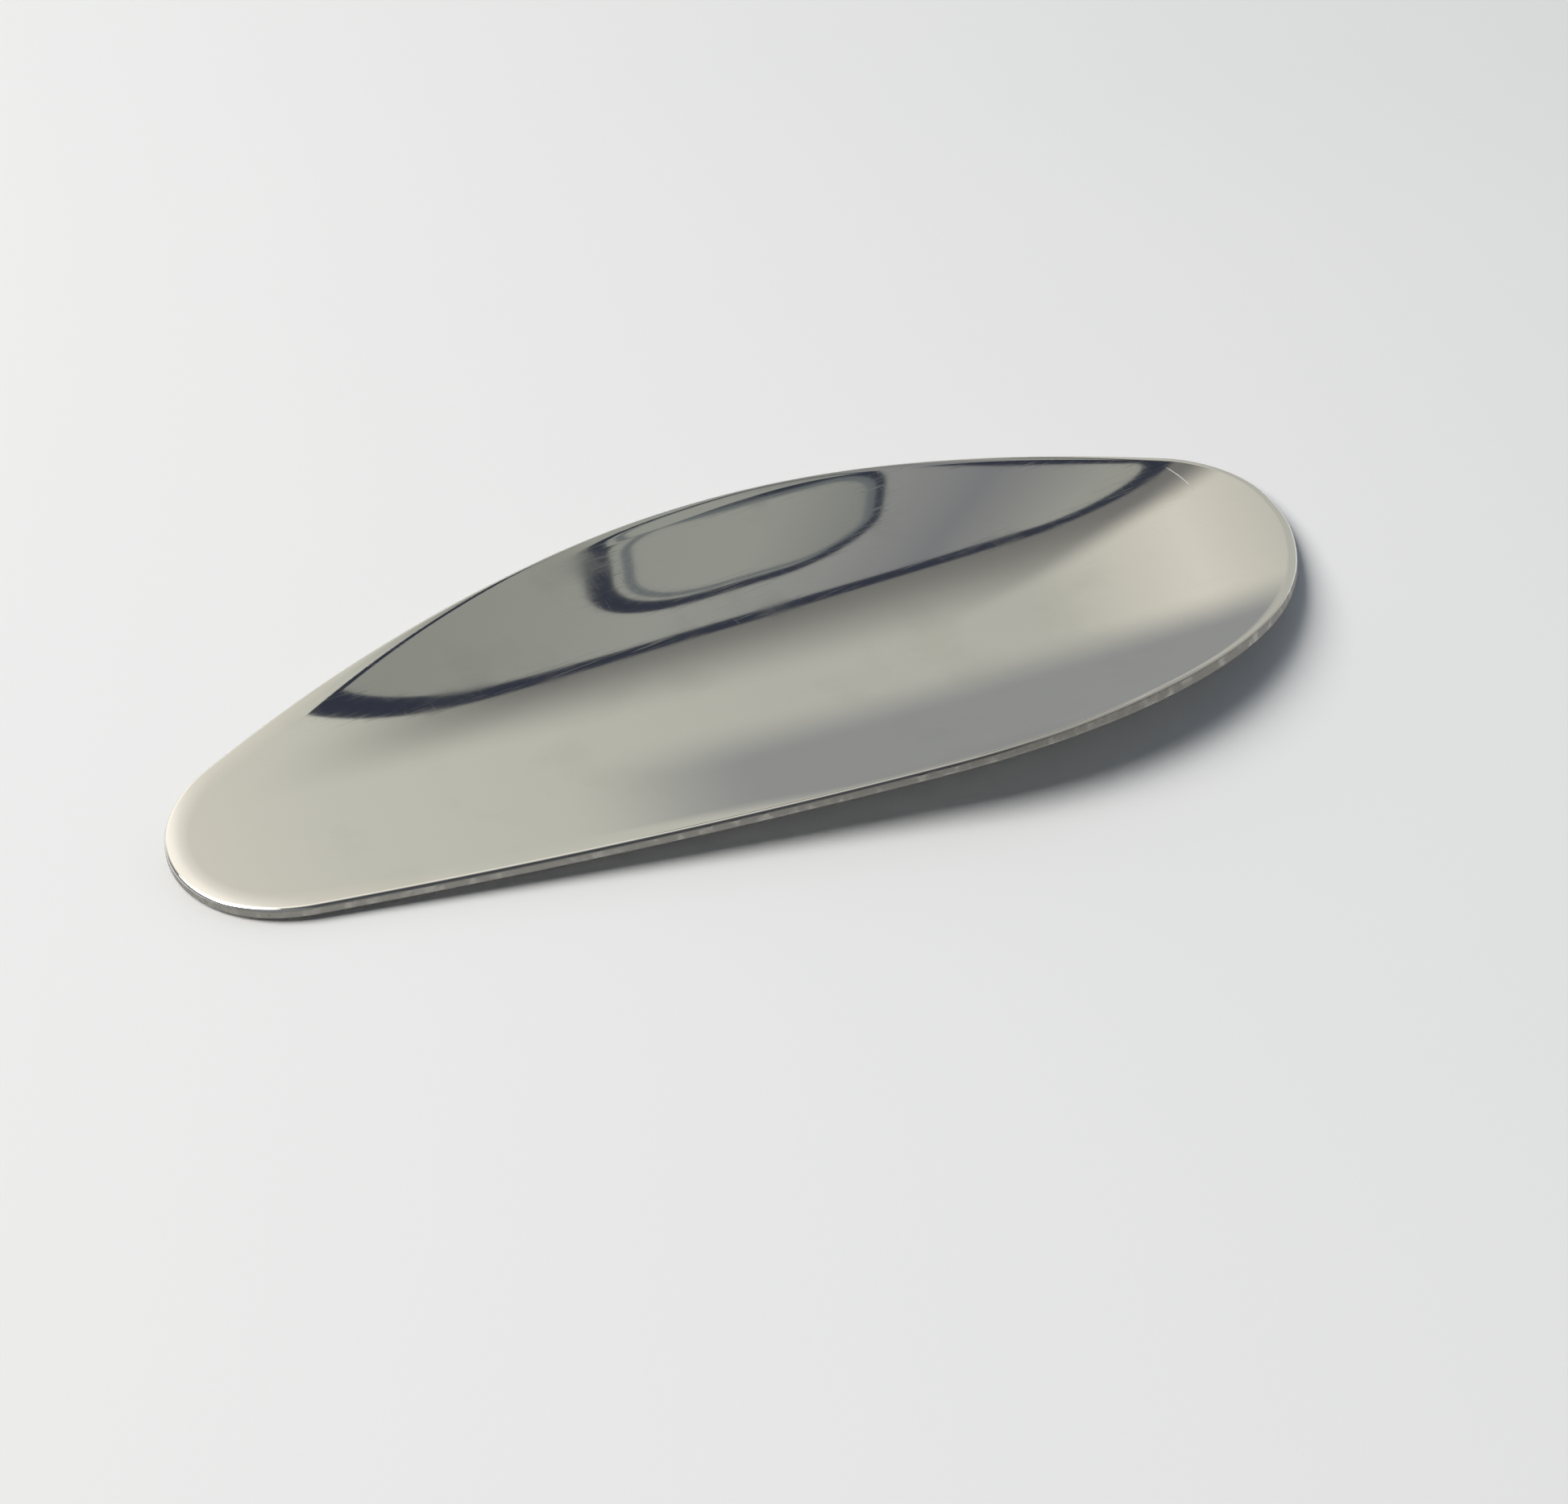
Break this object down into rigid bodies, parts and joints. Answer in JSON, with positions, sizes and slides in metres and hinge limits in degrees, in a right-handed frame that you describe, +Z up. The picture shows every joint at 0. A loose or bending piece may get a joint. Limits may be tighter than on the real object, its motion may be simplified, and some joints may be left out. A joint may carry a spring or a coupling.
{
  "type": "gua sha scraper",
  "caption": "Lopsided teardrop plate of polished stainless sheet, bent to a shallow trough, with rounded rims for scraping and massaging the skin.",
  "frame": {"origin": "middle of the bounding box in X and Y, on the surface the plate lies on", "axes": "+X along the trough from the narrow tail to the broad nose, +Y across it towards the bowed edge, +Z up out of the hollow face"},
  "size_m": [0.1098, 0.0514, 0.0058],
  "materials": {
    "polished_steel": "mirror-polished stainless steel faces with a satin tumbled rim"
  },
  "bodies": {
    "root": {"scraper_plate": "polished_steel"}
  },
  "joints": []
}
